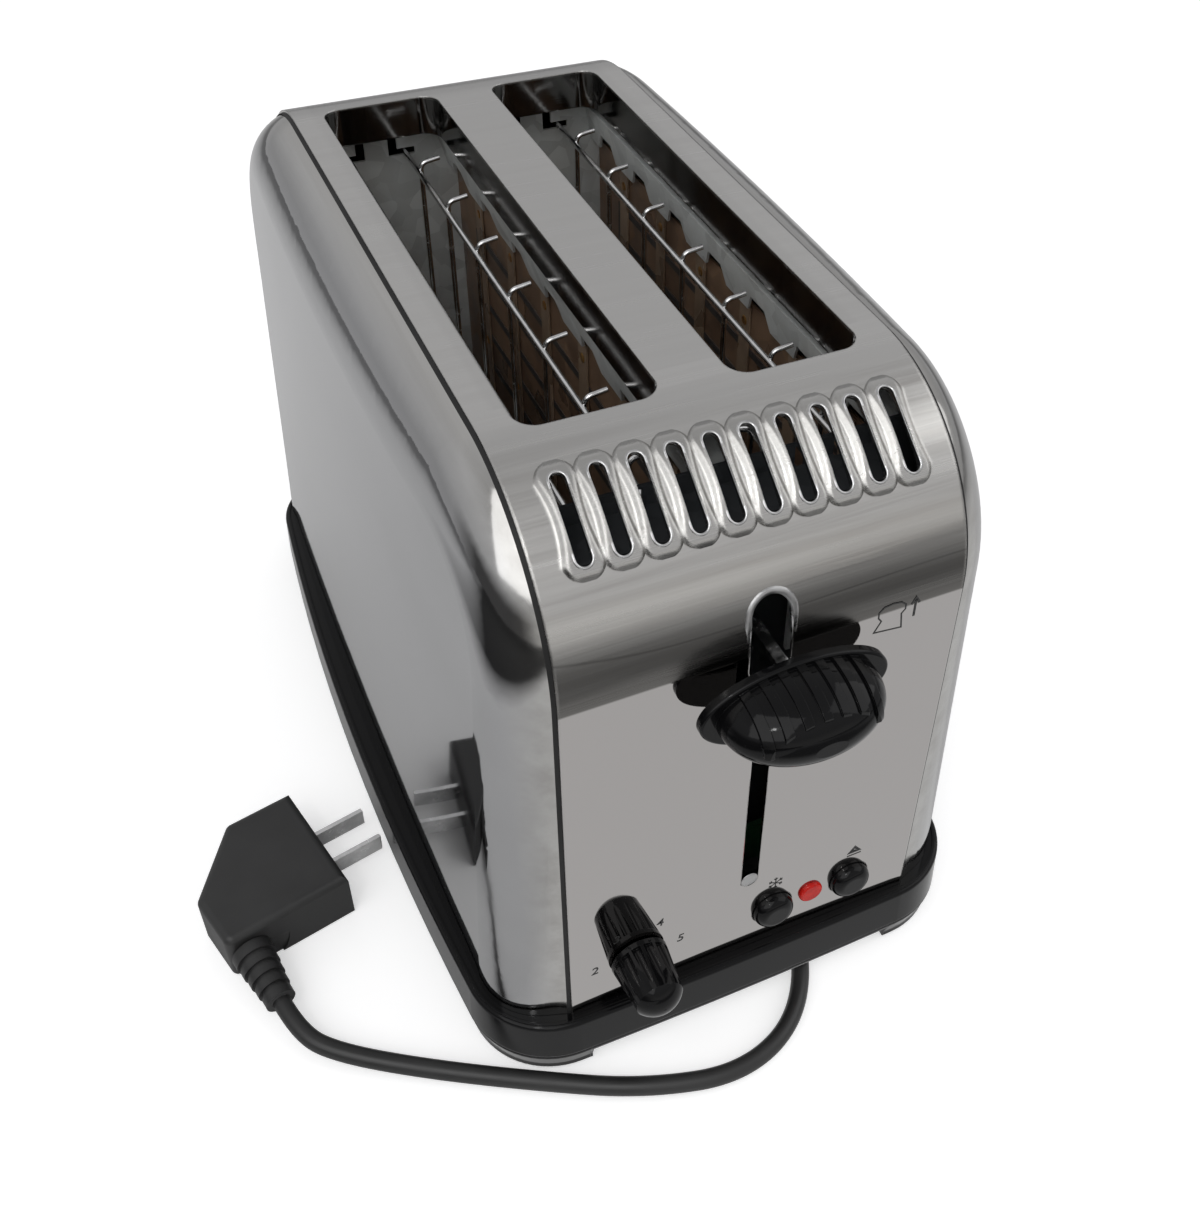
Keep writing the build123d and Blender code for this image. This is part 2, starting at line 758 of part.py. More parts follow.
with BuildPart() as rib_slabs:
    with Locations((knob_x, knob_front_y - grip_depth * 0.42, knob_z + grip_rise)):
        with GridLocations(grip_rib_pitch, 1, grip_ribs, 1):
            Box(grip_rib_width, grip_depth * 0.84, 2 * grip_rise)
    add(grip_form(grip_rib_height), mode=Mode.INTERSECT)

with BuildPart() as lever_knob:
    knob_plane = Plane(origin=(knob_x, knob_back_y, knob_z), x_dir=(1, 0, 0), z_dir=(0, -1, 0))
    with BuildSketch(knob_plane):
        Ellipse(flange_half, flange_rise)
    extrude(amount=flange_thick)
    fillet(lever_knob.edges().group_by(Axis.Y)[0], flange_round)
    add(grip_form(0))
    add(rib_slabs.part)
save(lever_knob.part, "lever_knob")

# Latch: an armature on the carriage that the electromagnet below it holds down
core_y = (circuit_y + circuit_thick + front_wall_y) / 2
core_top = web_low - travel - gap
with BuildPart() as armature:
    with Locations((0, (web_front + core_y - magnet_overlap) / 2, web_low + magnet_sheet / 2)):
        Box(armature_width, web_front - core_y + magnet_overlap, magnet_sheet)
save(armature.part, "latch_armature")

with BuildPart() as magnet_core:
    with Locations((0, (front_wall_y + core_y - magnet_overlap) / 2, circuit_low + 3.0)):
        Box(core_foot, front_wall_y - core_y + magnet_overlap, magnet_sheet)
    with BuildSketch(Plane.XY.offset(circuit_low + 3.0)):
        with Locations((0, core_y)):
            Circle(core_radius)
    extrude(amount=core_top - circuit_low - 3.0)
save(magnet_core.part, "magnet_core")

with BuildPart() as magnet_coil:
    coil_low = circuit_low + 4.0 + gap
    coil_high = core_top - 3.0
    with BuildSketch(Plane.XY.offset(coil_low)):
        with Locations((0, core_y)):
            Circle(coil_radius)
            Circle(core_radius + 0.1, mode=Mode.SUBTRACT)
    extrude(amount=coil_high - coil_low)
save(magnet_coil.part, "magnet_coil")

# Spring that lifts the carriage, between the bracket and the carriage's lug
spring_low = arm_z + 3.0 + gap + spring_wire
spring_high = bracket_z - gap - spring_wire
with BuildPart() as lift_spring:
    with BuildLine() as coil_line:
        Helix(
            pitch=(spring_high - spring_low) / spring_turns,
            height=spring_high - spring_low,
            radius=spring_radius,
            center=(spring_x, rod_y, spring_low),
        )
    with BuildSketch(Plane(origin=coil_line.line @ 0, z_dir=coil_line.line % 0)):
        Circle(spring_wire)
    sweep(path=coil_line.wires()[0], is_frenet=True)
save(lift_spring.part, "lift_spring")

# Circuit board with the brownness control, its switches and its lamp
with BuildPart() as control_board:
    with BuildSketch(front_plane(circuit_y + circuit_thick)):
        with Locations((0, (circuit_low + circuit_top) / 2)):
            Rectangle(2 * circuit_half, circuit_top - circuit_low)
    extrude(amount=circuit_thick)
save(control_board.part, "control_board")

with BuildPart() as board_spacers:
    with BuildSketch(front_plane(front_wall_y)):
        for x in (-spacer_x, spacer_x):
            for z in (circuit_low + 4, circuit_top - 4):
                with Locations((x, z)):
                    Circle(spacer_radius)
    extrude(amount=front_wall_y - circuit_y - circuit_thick)
save(board_spacers.part, "board_spacers")

pot_depth = 7.0
shaft_radius = 3.0
with BuildPart() as brownness_control:
    with BuildSketch(front_plane(circuit_y)):
        with Locations((timer_x, timer_z)):
            RectangleRounded(17.0, 17.0, 2.0)
    extrude(amount=pot_depth)
    with BuildSketch(front_plane(circuit_y - pot_depth)):
        with Locations((timer_x, timer_z)):
            Circle(shaft_radius + pin_gap)
    extrude(amount=-pot_depth + 1.0, mode=Mode.SUBTRACT)
save(brownness_control.part, "brownness_control")

with BuildPart() as tact_switches:
    with BuildSketch(front_plane(circuit_y)):
        with Locations((defrost_x, button_z), (cancel_x, button_z)):
            Rectangle(6.0, 6.0)
    extrude(amount=4.0)
save(tact_switches.part, "tact_switches")

timer_back_y = front_y - timer_gap
timer_front_y = front_y - timer_reach
shaft_back_y = circuit_y - 1.0 - gap
shaft_front_y = timer_front_y + 7.0
with BuildPart() as timer_shaft:
    with BuildSketch(front_plane(shaft_back_y)):
        with Locations((timer_x, timer_z)):
            Circle(shaft_radius)
    extrude(amount=shaft_back_y - shaft_front_y)
save(timer_shaft.part, "timer_shaft")

# Brownness knob: a long fluted taper with a domed end
timer_length = timer_back_y - timer_front_y
shoulder_y = timer_length - timer_dome
dome_radius = (timer_tip_radius**2 + timer_dome**2) / (2 * timer_dome)
dome_half = math.asin(timer_tip_radius / dome_radius) / 2
with BuildPart() as timer_knob:
    with BuildSketch(Plane.XY):
        with BuildLine():
            Polyline(
                (0, timer_length),
                (0, 0),
                (timer_base_radius - 0.6, 0),
                (timer_base_radius, 0.6),
                (timer_tip_radius, shoulder_y),
            )
            dome_middle = (
                dome_radius * math.sin(dome_half),
                timer_length - dome_radius * (1 - math.cos(dome_half)),
            )
            ThreePointArc((timer_tip_radius, shoulder_y), dome_middle, (0, timer_length))
        make_face()
    revolve(axis=Axis.Y)
    with BuildSketch(Plane.XZ.offset(-flute_start)):
        with PolarLocations(timer_base_radius + flute_out, timer_flutes):
            Circle(flute_radius)
    extrude(amount=-timer_length, mode=Mode.SUBTRACT)
    with BuildSketch(Plane.XZ):
        Circle(shaft_radius)
    extrude(amount=-(timer_back_y - shaft_front_y), mode=Mode.SUBTRACT)
turned_knob = Location((timer_x, timer_back_y, timer_z), (0, 0, 180)) * timer_knob.part
save(turned_knob, "timer_knob")


# Push buttons: a domed cap in the panel, a collar behind it and a stem to the switch
def make_button(x):
    """Push button at x."""
    collar_y = front_y + sheet + gap
    stem_end = circuit_y - 4.0 - button_travel - gap
    with BuildPart() as button:
        with BuildSketch(front_plane(collar_y)):
            with Locations((x, button_z)):
                Circle(button_radius)
        extrude(amount=collar_y - front_y + button_height)
        fillet(button.edges().group_by(Axis.Y)[0], button_round)
        with BuildSketch(front_plane(collar_y + 1.2)):
            with Locations((x, button_z)):
                Circle(button_radius + 1.0)
        extrude(amount=1.2)
        with BuildSketch(front_plane(stem_end)):
            with Locations((x, button_z)):
                Circle(1.8)
        extrude(amount=stem_end - collar_y)
    return button.part


save(make_button(defrost_x), "defrost_button")
save(make_button(cancel_x), "cancel_button")

with BuildPart() as indicator_lens:
    with BuildSketch(front_plane(front_y)):
        with Locations((lamp_x, lamp_z)):
            Circle(lamp_radius)
    extrude(amount=lamp_height)
    fillet(indicator_lens.edges().group_by(Axis.Y)[0], 0.9)
    with BuildSketch(front_plane(circuit_y)):
        with Locations((lamp_x, lamp_z)):
            Circle(lamp_radius - 1.0)
    extrude(amount=circuit_y - front_y)
save(indicator_lens.part, "indicator_lens")

# Lead: from the gland under the base round the front left corner to the plug, lying on the floor
gland_mouth = (gland_x, front_y + 44.0)
route_plan = [
    (gland_x, 44.0, cord_z),
    (-30.0, 77.0, cord_z),
    (-33.0, 115.0, cord_z),
    (-34.0, 169.0, cord_z),
    (-32.5, 217.0, cord_z),
    (-13.5, 236.0, cord_z),
    (13.5, 236.0, cord_z),
    (32.5, 217.0, cord_z),
    (33.5, 167.0, cord_z),
    (31.0, 107.0, cord_z),
    (33.0, 55.0, cord_z),
    (28.0, 13.0, cord_z),
    (14.0, -16.0, cord_z),
    (-11.0, -27.5, cord_z),
    (-40.0, -21.5, cord_z),
    (-68.0, -7.5, cord_z),
    (-97.5, 9.5, cord_z),
    (-118.5, 24.5, 4.2),
    (-126.5, 36.0, 5.8),
    (-129.5, 49.5, 7.0),
]
cord_route = [(x, front_y + along, z) for x, along, z in route_plan]


def corner_radii(points):
    """Largest arc at each corner that leaves a tenth of the shorter run straight."""
    radii = []
    for before, here, after in zip(points, points[1:], points[2:]):
        run_in = Vector(*here) - Vector(*before)
        run_out = Vector(*after) - Vector(*here)
        half_turn = math.radians(run_in.get_angle(run_out)) / 2
        radii.append(0.45 * min(run_in.length, run_out.length) / math.tan(half_turn))
    return radii


cord_radii = corner_radii(cord_route)
with BuildPart() as cord:
    with BuildLine() as cord_line:
        FilletPolyline(*cord_route, radius=cord_radii)
    with BuildSketch(Plane(origin=cord_line.wires()[0] @ 0, z_dir=cord_line.wires()[0] % 0)):
        Circle(cord_diameter / 2)
    sweep(path=cord_line.wires()[0])
save(cord.part, "cord")
cord_length = cord_line.wires()[0].length
cord_area = math.pi * cord_diameter**2 / 4
print("cord radii", [round(radius, 1) for radius in cord_radii])
print("cord length", round(cord_length, 1), "volume ratio", cord.part.volume / cord_area / cord_length)

# Gland under the bottom plate, with a tapered nose where the lead leaves it
gland_nose = 12.0
with BuildPart() as cord_gland:
    with BuildSketch(Plane.XY.offset(plate_z)):
        with Locations((gland_x, gland_mouth[1] - gland_nose - 8.0)):
            RectangleRounded(18.0, 16.0, 2.0)
    extrude(amount=-(plate_z - gap))
    with BuildSketch(front_plane(gland_mouth[1] - gland_nose)):
        with Locations((gland_x, cord_z + 1.6)):
            RectangleRounded(12.0, 9.0, 2.5)
    with BuildSketch(front_plane(gland_mouth[1])):
        with Locations((gland_x, cord_z + 0.2)):
            RectangleRounded(7.6, 6.0, 2.5)
    loft()
save(cord_gland.part, "cord_gland")

# Plug: a flat angled body, two blades and a ribbed sleeve in line with the lead
sleeve_end = Vector(*cord_route[-1])
sleeve_dir = (sleeve_end - Vector(*cord_route[-2])).normalized()
sleeve_root = sleeve_end + sleeve_dir * sleeve_length
sleeve_plane = Plane(origin=sleeve_end, z_dir=sleeve_dir)
with BuildPart() as cord_sleeve:
    with BuildSketch(sleeve_plane):
        Circle(sleeve_small)
    extrude(amount=sleeve_length * 0.15)
    for step in range(4):
        ring_start = sleeve_length * (0.15 + 0.2 * step)
        ring_radius = sleeve_small + (sleeve_big - sleeve_small) * (step + 1) / 4
        with BuildSketch(sleeve_plane.offset(ring_start)):
            Circle(ring_radius - 0.9)
        extrude(amount=sleeve_length * 0.07)
        with BuildSketch(sleeve_plane.offset(ring_start + sleeve_length * 0.07)):
            Circle(ring_radius)
        extrude(amount=sleeve_length * 0.13)
    with BuildSketch(sleeve_plane.offset(sleeve_length * 0.95)):
        Circle(sleeve_big)
    extrude(amount=sleeve_length * 0.05)
save(cord_sleeve.part, "cord_sleeve")

plug_up = Vector(sleeve_dir.X, sleeve_dir.Y, 0).normalized()
plug_side = Vector(plug_up.Y, -plug_up.X, 0)
plug_plane = Plane(
    origin=(sleeve_root.X, sleeve_root.Y, gap),
    x_dir=plug_side,
    z_dir=(0, 0, 1),
)
plug_face = 34.0
plug_length = 42.0
blade_middle = 19.2
with BuildPart() as plug_body:
    with BuildSketch(plug_plane) as plug_plan:
        with BuildLine():
            Polyline(
                (-6.5, 0),
                (-7.5, 20),
                (12, plug_length),
                (plug_face, plug_length),
                (plug_face, 0),
                (-6.5, 0),
            )
        make_face()
        fillet(plug_plan.vertices().sort_by(Axis.X)[:3], 3.0)
    extrude(amount=plug_height)
    fillet(plug_body.faces().sort_by(Axis.Z)[-1].edges(), 2.5)
    with BuildSketch(sleeve_plane.offset(sleeve_length)):
        Circle(2 * sleeve_big)
    extrude(amount=-2.0, mode=Mode.SUBTRACT)
save(plug_body.part, "plug_body")

blade_plane = Plane(
    origin=plug_plane.from_local_coords((plug_face, blade_middle, plug_height / 2)),
    x_dir=plug_up,
    z_dir=plug_side,
)
with BuildPart() as plug_blades:
    with BuildSketch(blade_plane):
        with GridLocations(blade_spacing, 1, 2, 1):
            Rectangle(blade_thick, blade_width)
    extrude(amount=blade_length)
    chamfer(plug_blades.faces().group_by(Axis.X)[-1].edges().filter_by(Axis.Z), 0.4)
save(plug_blades.part, "plug_blades")
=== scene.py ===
import math

import bmesh
import bpy
from mathutils import Matrix, Vector


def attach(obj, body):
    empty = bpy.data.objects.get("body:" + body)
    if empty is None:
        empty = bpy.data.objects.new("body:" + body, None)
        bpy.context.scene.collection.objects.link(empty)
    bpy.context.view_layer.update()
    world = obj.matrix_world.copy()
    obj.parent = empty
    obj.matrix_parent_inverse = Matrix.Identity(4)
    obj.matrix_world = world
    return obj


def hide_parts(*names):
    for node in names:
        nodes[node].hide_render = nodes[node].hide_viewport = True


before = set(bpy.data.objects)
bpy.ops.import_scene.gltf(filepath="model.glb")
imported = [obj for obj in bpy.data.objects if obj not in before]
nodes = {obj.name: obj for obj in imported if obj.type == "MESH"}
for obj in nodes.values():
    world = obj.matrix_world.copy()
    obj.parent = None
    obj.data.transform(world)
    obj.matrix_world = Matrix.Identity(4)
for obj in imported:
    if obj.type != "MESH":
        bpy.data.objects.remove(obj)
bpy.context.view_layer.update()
scene = bpy.context.scene

MM = 0.001

# Sizes of the model that the scene's pieces are placed by, in mm
FRONT_Y = -124.0
REAR_Y = 145.0
LEDGE_Z = 23.5
TOP_Z = 200.0
BEND = 49.5
BEND_Z = TOP_Z - BEND
SLOT_Y = (-79.8, 100.7)

# Camera, at the photograph's viewing angle
right = Vector((0.903371, -0.427778, 0.030451))
down = Vector((-0.260150, -0.603057, -0.754086))
forward = Vector((0.340945, 0.673297, -0.656070))
camera_data = bpy.data.cameras.new("camera")
camera_data.sensor_fit = "VERTICAL"
camera_data.sensor_height = 36.0
camera_data.lens = 41.97
camera_data.shift_x = -0.0767
camera_data.shift_y = -0.0594
camera_data.clip_start = 0.01
camera = bpy.data.objects.new("camera", camera_data)
turn = Matrix((right, -down, -forward)).transposed()
camera.matrix_world = Matrix.Translation((-0.1260, -0.3284, 0.3947)) @ turn.to_4x4()
scene.collection.objects.link(camera)
scene.camera = camera


# Materials
class Nodes:
    """Shader nodes in one node tree."""

    def __init__(self, tree):
        self.tree = tree

    def feed(self, socket, value):
        """Link a socket to another node's output, or set its value."""
        if isinstance(value, bpy.types.NodeSocket):
            self.tree.links.new(value, socket)
        else:
            socket.default_value = value

    def node(self, kind, inputs=None, **values):
        made = self.tree.nodes.new(kind)
        for key, value in values.items():
            setattr(made, key, value)
        for key, value in (inputs or {}).items():
            self.feed(made.inputs[key], value)
        return made

    def where(self, coordinates="Object"):
        """X, Y and Z of the shaded point."""
        spot = self.node("ShaderNodeTexCoord")
        parts = self.node("ShaderNodeSeparateXYZ", {"Vector": spot.outputs[coordinates]})
        return [parts.outputs[axis] for axis in "XYZ"]

    def span(self, source, low, high, to_low=0.0, to_high=1.0):
        ends = {"From Min": low, "From Max": high, "To Min": to_low, "To Max": to_high}
        return self.node("ShaderNodeMapRange", {"Value": source, **ends}).outputs["Result"]

    def math(self, how, a, b=0.0):
        return self.node("ShaderNodeMath", {0: a, 1: b}, operation=how).outputs[0]

    def times(self, *factors):
        product = factors[0]
        for factor in factors[1:]:
            product = self.math("MULTIPLY", product, factor)
        return product

    def tint(self, factor, *stops):
        made = self.node("ShaderNodeValToRGB", {"Fac": factor})
        ramp = made.color_ramp
        while len(ramp.elements) < len(stops):
            ramp.elements.new(0.5)
        for element, (spot, color) in zip(ramp.elements, stops):
            element.position = spot
            element.color = (*color, 1.0)
        return made.outputs["Color"]

    def mix(self, factor, a, b, blend="MIX"):
        """Blend two colours."""
        made = self.node("ShaderNodeMix", data_type="RGBA", blend_type=blend)
        for index, value in ((0, factor), (6, a), (7, b)):
            self.feed(made.inputs[index], value)
        return made.outputs[2]

    def mix_value(self, factor, a, b):
        """Blend two numbers."""
        made = self.node("ShaderNodeMix", data_type="FLOAT")
        for index, value in ((0, factor), (2, a), (3, b)):
            self.feed(made.inputs[index], value)
        return made.outputs[0]


class Paint(Nodes):
    """A node material for one finish."""

    def __init__(self, name, color, rough, metal=0.0, **sockets):
        self.material = bpy.data.materials.new(name)
        self.material.use_nodes = True
        super().__init__(self.material.node_tree)
        self.shader = self.tree.nodes["Principled BSDF"]
        self.material.diffuse_color = (*color, 1.0)
        self.set("Base Color", (*color, 1.0))
        self.set("Roughness", rough)
        self.set("Metallic", metal)
        for socket, value in sockets.items():
            self.set(socket.replace("_", " "), value)

    def set(self, socket, value):
        self.shader.inputs[socket].default_value = value

    def to(self, socket, source):
        self.tree.links.new(source, self.shader.inputs[socket])

    def place(self, stretch=(1, 1, 1)):
        spot = self.node("ShaderNodeTexCoord")
        scaled = self.node("ShaderNodeMapping", {"Vector": spot.outputs["Object"], "Scale": stretch})
        return scaled.outputs["Vector"]

    def noise(self, scale, stretch=(1, 1, 1), detail=4.0, rough=0.55, bend=0.0):
        inputs = {"Scale": scale, "Detail": detail, "Roughness": rough, "Distortion": bend}
        return self.node("ShaderNodeTexNoise", {"Vector": self.place(stretch), **inputs}).outputs["Fac"]

    def flakes(self, scale):
        """A grey level that differs from cell to cell."""
        made = self.node("ShaderNodeTexVoronoi", {"Vector": self.place(), "Scale": scale})
        return self.node("ShaderNodeRGBToBW", {"Color": made.outputs["Color"]}).outputs["Val"]

    def arc(self, y, z, centre_y):
        """Distance from the line along X through the bend's centre."""
        across = self.math("SUBTRACT", y, centre_y * MM)
        up = self.math("SUBTRACT", z, BEND_Z * MM)
        return self.math("SQRT", self.math("ADD", self.times(across, across), self.times(up, up)))

    def soft_edges(self, radius):
        """Normals rounded over the edges. The radius is in metres, or another node's output."""
        made = self.node("ShaderNodeBevel", {"Radius": radius}, samples=6)
        self.to("Normal", made.outputs["Normal"])
        return made.outputs["Normal"]

    def bump(self, height, depth, strength=1.0, edges=None):
        inputs = {"Height": height, "Distance": depth * MM, "Strength": strength}
        if edges:
            inputs["Normal"] = edges
        made = self.node("ShaderNodeBump", inputs)
        self.to("Normal", made.outputs["Normal"])


def grey(level):
    return (level, level, level)


def make_shell_steel(name):
    """Steel strip: a mirror front below the bend, brushed above it, polished down the slots' lips, with
    painted shade on the rims and in the slots and a painted dark reflection low on the bend.
    """
    lip_depth, slot_edge = 1.1, 1.5
    vent_gap, vent_end = 4.0, (48.0, 50.0)
    paint = Paint(name, (0.5, 0.5, 0.495), 0.2, 1.0)
    x, y, z = paint.where()
    high = paint.span(z, (BEND_Z - 0.3) * MM, (BEND_Z + 0.3) * MM)
    inside = paint.times(
        paint.math("LESS_THAN", z, (TOP_Z - lip_depth) * MM),
        high,
        paint.math("GREATER_THAN", y, (SLOT_Y[0] - slot_edge) * MM),
        paint.math("LESS_THAN", y, (SLOT_Y[1] + slot_edge) * MM),
    )

    # Brushing along X, with a few painted dark wavy reflection lines on the lower bend
    hair = paint.noise(1500, (0.012, 1.0, 1.0), 3.0)
    streak = paint.noise(210, (0.03, 1.0, 1.0), 5.0, 0.6, 0.4)
    cloud = paint.noise(13, (0.6, 1, 1), 4.0, 0.5, 0.8)
    wave = paint.noise(42, (0.12, 1.0, 1.0), 1.0, 0.4, 0.6)
    # Painted reflection: thin dark wavy lines in the colour, faded out towards the top
    reflection_lines = paint.math("ABSOLUTE", paint.math("SUBTRACT", wave, 0.5))
    reflection_lines = paint.span(reflection_lines, 0.0, 0.014, 0.62, 1.0)
    reflection_lines = paint.math("MAXIMUM", reflection_lines, paint.span(z, (TOP_Z - 22.0) * MM, (TOP_Z - 12.0) * MM))
    tone = paint.tint(
        streak, (0.28, (0.5, 0.485, 0.465)), (0.5, (0.6, 0.59, 0.57)), (0.74, (0.7, 0.69, 0.67))
    )
    color = paint.mix(high, (0.52, 0.502, 0.492, 1.0), tone)
    color = paint.mix(1.0, color, paint.mix_value(high, 1.0, reflection_lines), "MULTIPLY")

    # Painted dark reflection low on the bend, painted shade on the raised rims, even on the top, painted
    # shade inside the slots
    # Painted dark reflection: the colour darkens towards the bottom of the bend
    low = paint.times(paint.span(z, (BEND_Z + 2.0) * MM, (BEND_Z + 27.0) * MM, 0.75, 0.0), high)
    # Painted shade on the raised rims round the vents
    rim_shade = paint.times(
        paint.span(paint.math("ABSOLUTE", x), vent_end[0] * MM, vent_end[1] * MM, 0.35, 0.0),
        paint.math("GREATER_THAN", paint.arc(y, z, FRONT_Y + BEND), (BEND + 0.15) * MM),
        high,
    )
    top = paint.span(z, (TOP_Z - 4.0) * MM, (TOP_Z - 0.6) * MM, 0.0, 0.75)
    color = paint.mix(low, color, (0.1, 0.094, 0.088, 1.0))
    color = paint.mix(rim_shade, color, (0.3, 0.295, 0.285, 1.0))
    color = paint.mix(top, color, (0.52, 0.515, 0.505, 1.0))
    # Painted shade: the steel's colour darker inside the slots, where they also get a polished roughness
    paint.to("Base Color", paint.mix(inside, color, (0.24, 0.235, 0.23, 1.0)))

    rough_high = paint.math(
        "ADD", paint.span(hair, 0.3, 0.7, 0.15, 0.25), paint.span(streak, 0.3, 0.7, -0.03, 0.07)
    )
    rough_low = paint.span(cloud, 0.35, 0.7, 0.03, 0.06)
    rough = paint.mix_value(high, rough_low, rough_high)
    paint.to("Roughness", paint.mix_value(inside, rough, 0.09))

    vents = paint.times(high, paint.math("LESS_THAN", y, (SLOT_Y[0] - vent_gap) * MM))
    blend = paint.span(vents, 0.0, 1.0, 0.7 * MM, 1.2 * MM)
    relief = paint.times(paint.math("ADD", hair, paint.times(cloud, 6.0)), high)
    paint.bump(relief, 0.03, 0.4, paint.soft_edges(blend))
    return paint.material


def make_panel_steel(name):
    """Pressed side panel, polished, with a satin drawn edge and a slightly wavy skin."""
    paint = Paint(name, (0.56, 0.56, 0.56), 0.1, 1.0)
    x, _, _ = paint.where()
    fine = paint.noise(900, (1.0, 0.02, 0.3), 3.0)
    drawn = paint.noise(150, (1.0, 0.03, 1.0), 4.0)
    cloud = paint.noise(12, (1, 0.5, 1), 3.0, bend=0.5)
    edge = paint.span(paint.math("ABSOLUTE", x), 66.0 * MM, 58.0 * MM)
    rough_edge = paint.span(drawn, 0.3, 0.7, 0.07, 0.17)
    rough_face = paint.span(paint.math("ADD", fine, cloud), 0.7, 1.3, 0.03, 0.065)
    paint.to("Roughness", paint.mix_value(edge, rough_face, rough_edge))
    face = paint.tint(cloud, (0.3, (0.43, 0.43, 0.435)), (0.7, (0.48, 0.48, 0.487)))
    satin = paint.tint(drawn, (0.3, (0.44, 0.43, 0.415)), (0.7, (0.56, 0.555, 0.54)))
    paint.to("Base Color", paint.mix(edge, face, satin))
    paint.bump(paint.noise(7, (1, 1, 1), 2.0), 0.6, 0.12, paint.soft_edges(0.7 * MM))
    return paint.material


def make_sheet_steel(name, color=(0.33, 0.35, 0.345), rough=0.4, metal=0.35):
    """Plain zinc-coated sheet with its faint crystal pattern."""
    paint = Paint(name, color, rough, metal)
    shade = paint.flakes(160)
    grime = paint.noise(30, (1, 1, 1), 5.0)
    low, high = (tuple(share * part for part in color) for share in (0.85, 1.12))
    tone = paint.tint(shade, (0.2, low), (0.8, high))
    stain = (color[0] * 0.6, color[1] * 0.54, color[2] * 0.47, 1.0)
    paint.to("Base Color", paint.mix(paint.span(grime, 0.5, 0.8, 0.0, 0.5), tone, stain))
    paint.to("Roughness", paint.span(grime, 0.3, 0.7, rough * 0.8, rough * 1.35))
    return paint.material


def make_plated(name, level=0.72, rough=0.14):
    """Bright plated wire with light wear."""
    paint = Paint(name, grey(level), rough, 1.0)
    wear = paint.noise(240, (1, 1, 1), 4.0)
    paint.to("Roughness", paint.span(wear, 0.35, 0.7, rough * 0.6, rough * 2.2))
    paint.to("Base Color", paint.tint(wear, (0.3, grey(level * 0.8)), (0.65, grey(level * 1.1))))
    return paint.material


def make_brass(name):
    """Yellow brass, darkened by heat."""
    paint = Paint(name, (0.5, 0.27, 0.08), 0.3, 0.8)
    heat = paint.noise(300, (1, 1, 1), 3.0)
    paint.to("Base Color", paint.tint(heat, (0.35, (0.32, 0.14, 0.04)), (0.65, (0.62, 0.36, 0.12))))
    return paint.material


def make_gloss(name, level=0.004, rough=0.08, wave=0.12, edges=0.5, parting=None):
    """Moulded glossy plastic. Parting gives the height of a fine line and the X of short joints below it."""
    near, far = 0.15 * MM, 0.35 * MM
    paint = Paint(name, (level, level, level * 1.1), rough, 0.0, Specular_IOR_Level=0.2)
    skin = paint.noise(45, (1, 1, 1), 3.0)
    dust = paint.noise(1500, (1, 1, 1), 2.0)
    paint.to("Roughness", paint.span(skin, 0.3, 0.7, rough * 0.7, rough * 1.6))
    speck = paint.span(dust, 0.68, 0.76, 0.0, 0.25)
    paint.to("Base Color", paint.mix(speck, (level, level, level * 1.1, 1.0), (0.03, 0.03, 0.03, 1.0)))
    height = paint.times(skin, wave)
    if parting:
        x, _, z = paint.where()
        line = paint.math("ABSOLUTE", paint.math("SUBTRACT", z, parting[0] * MM))
        seam = paint.span(line, near, far, 1.0, 0.0)
        joint = paint.math("SUBTRACT", paint.math("ABSOLUTE", x), parting[1] * MM)
        joint = paint.span(paint.math("ABSOLUTE", joint), near, far, 1.0, 0.0)
        joint = paint.times(joint, paint.math("LESS_THAN", z, parting[0] * MM))
        height = paint.math("SUBTRACT", height, paint.math("MAXIMUM", seam, joint))
    paint.bump(height, 0.3, 0.6, paint.soft_edges(edges * MM))
    return paint.material


def make_rubber(name, level=0.02, rough=0.42):
    """Soft black PVC with a fine pebbled skin."""
    paint = Paint(name, grey(level), rough, 0.0)
    skin = paint.noise(900, (1, 1, 1), 3.0)
    cloud = paint.noise(35, (1, 1, 1), 3.0)
    paint.to("Roughness", paint.span(cloud, 0.3, 0.7, rough * 0.8, rough * 1.25))
    paint.to("Base Color", paint.tint(cloud, (0.3, grey(level * 0.8)), (0.7, grey(level * 1.5))))
    paint.bump(skin, 0.05, 0.25)
    return paint.material


def make_mica(name, dark, light, rough=0.35):
    """Mica sheet: brown flakes pressed together, with a satin sheen."""
    paint = Paint(name, light, rough, 0.0)
    shade = paint.flakes(90)
    cloud = paint.noise(50, (1, 1, 1), 6.0)
    shade_share = paint.span(shade, 0.1, 0.9, 0.0, 0.45)
    cloud_share = paint.span(cloud, 0.3, 0.7, 0.0, 0.55)
    both = paint.math("ADD", shade_share, cloud_share)
    paint.to("Base Color", paint.tint(both, (0.1, dark), (0.9, light)))
    paint.to("Roughness", paint.span(shade, 0.1, 0.9, rough * 0.7, rough * 1.5))
    paint.bump(both, 0.05, 0.3)
    return paint.material


def make_lens(name):
    """Red lamp lens, a little uneven."""
    paint = Paint(name, (0.5, 0.01, 0.008), 0.16, 0.0, Specular_IOR_Level=0.2)
    core = paint.noise(260, (1, 1, 1), 2.0)
    paint.to("Base Color", paint.tint(core, (0.35, (0.42, 0.008, 0.006)), (0.7, (0.62, 0.02, 0.012))))
    return paint.material


def make_laminate(name):
    """Green circuit laminate with a faint weave."""
    paint = Paint(name, (0.02, 0.07, 0.03), 0.4)
    weave = paint.node("ShaderNodeTexWave", {"Vector": paint.place(), "Scale": 400.0, "Distortion": 1.0})
    tone = paint.tint(weave.outputs["Fac"], (0.0, (0.01, 0.045, 0.018)), (1.0, (0.02, 0.075, 0.03)))
    paint.to("Base Color", tone)
    return paint.material


